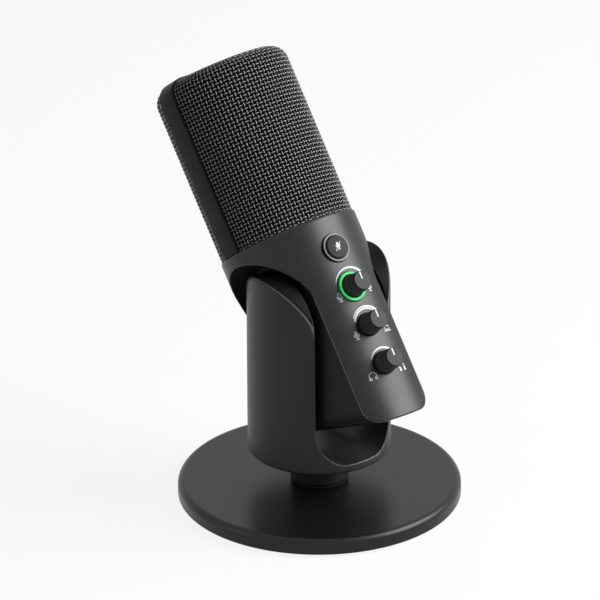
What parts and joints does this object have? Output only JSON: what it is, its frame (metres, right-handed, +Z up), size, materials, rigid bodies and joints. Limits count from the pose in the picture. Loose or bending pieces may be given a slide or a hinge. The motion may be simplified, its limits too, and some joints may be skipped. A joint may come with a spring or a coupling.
{
  "type": "desktop microphone",
  "caption": "Side-address desktop microphone: woven wire grille and knob panel tilting in a U-shaped yoke on a round base.",
  "frame": {"origin": "centre of the underside of the foot pad, on the table", "axes": "+Z up from the table, -Y to the front that the control panel and the pick-up side face, +X along the tilt axis to the part's right seen from behind"},
  "size_m": [0.135, 0.1677, 0.2122],
  "materials": {
    "base_coat": "satin black powder coat on steel plate",
    "foot_rubber": "matte",
    "steel": "satin",
    "brass": "satin",
    "nylon": "matte",
    "yoke_coat": "satin black coat on cast aluminium",
    "housing_plastic": "satin",
    "knob_plastic": "matte",
    "circuit_board": "matte",
    "green_light": "lit green light guide",
    "pale_light_ring": "translucent light guide",
    "frame_coat": "satin black coat on aluminium",
    "grille_wire": "dark coated woven wire",
    "foam": "matte open-cell foam",
    "aluminium": "satin",
    "capsule_metal": "gold-coloured satin"
  },
  "bodies": {
    "stand": {"base_plate": "base_coat", "foot_pad": "foot_rubber", "base_screw": "steel", "stand_stud": "steel", "neck_washer": "nylon", "thread_insert": "brass", "yoke": "yoke_coat", "hinge_plate_left": "yoke_coat", "hinge_plate_right": "yoke_coat", "hinge_screw_left_lower": "steel", "hinge_screw_left_upper": "steel", "hinge_screw_right_lower": "steel", "hinge_screw_right_upper": "steel", "friction_washer_left": "nylon", "friction_washer_right": "nylon"},
    "head": {"hinge_pin_left": "steel", "hinge_pin_right": "steel", "spring_washer_left": "steel", "spring_washer_right": "steel", "hinge_nut_left": "steel", "hinge_nut_right": "steel", "body_housing": "housing_plastic", "bottom_cap": "housing_plastic", "cap_screw_front": "steel", "cap_screw_rear": "steel", "chassis": "steel", "main_board": "circuit_board", "potentiometer_top": "steel", "potentiometer_middle": "steel", "potentiometer_bottom": "steel", "mute_switch": "knob_plastic", "port_board": "circuit_board", "usb_c_socket": "steel", "headphone_jack": "knob_plastic", "light_ring": "green_light", "mute_ring": "pale_light_ring", "grille_frame": "frame_coat", "grille_front": "grille_wire", "grille_rear": "grille_wire", "foam_liner": "foam", "head_plate": "aluminium", "head_screw_left": "steel", "head_screw_right": "steel", "capsule": "capsule_metal", "capsule_cradle": "foot_rubber"},
    "top_knob": {"knob_top": "knob_plastic", "shaft_top": "steel"},
    "middle_knob": {"knob_middle": "knob_plastic", "shaft_middle": "steel"},
    "bottom_knob": {"knob_bottom": "knob_plastic", "shaft_bottom": "steel"},
    "mute": {"mute_button": "knob_plastic"}
  },
  "joints": [
    {"name": "head_tilt", "type": "hinge", "parent": "stand", "child": "head", "pos_m": [0, 0, 0.0964], "axis": [-1, 0, 0], "range_deg": [-38.1, 10]},
    {"name": "top_knob_turn", "type": "hinge", "parent": "head", "child": "top_knob", "pos_m": [0, -0.02554, 0.11909], "axis": [0, -0.7869, 0.617], "range_deg": [-140, 140]},
    {"name": "middle_knob_turn", "type": "hinge", "parent": "head", "child": "middle_knob", "pos_m": [0, -0.03763, 0.10367], "axis": [0, -0.7869, 0.617], "range_deg": [-140, 140]},
    {"name": "bottom_knob_turn", "type": "hinge", "parent": "head", "child": "bottom_knob", "pos_m": [0, -0.04973, 0.08825], "axis": [0, -0.7869, 0.617], "range_deg": [-140, 140]},
    {"name": "mute_press", "type": "slide", "parent": "head", "child": "mute", "axis": [0, 0.7869, -0.617], "range_m": [0, 0.0008], "stiffness_N_per_m": 400, "springref_m": -0.001}
  ]
}
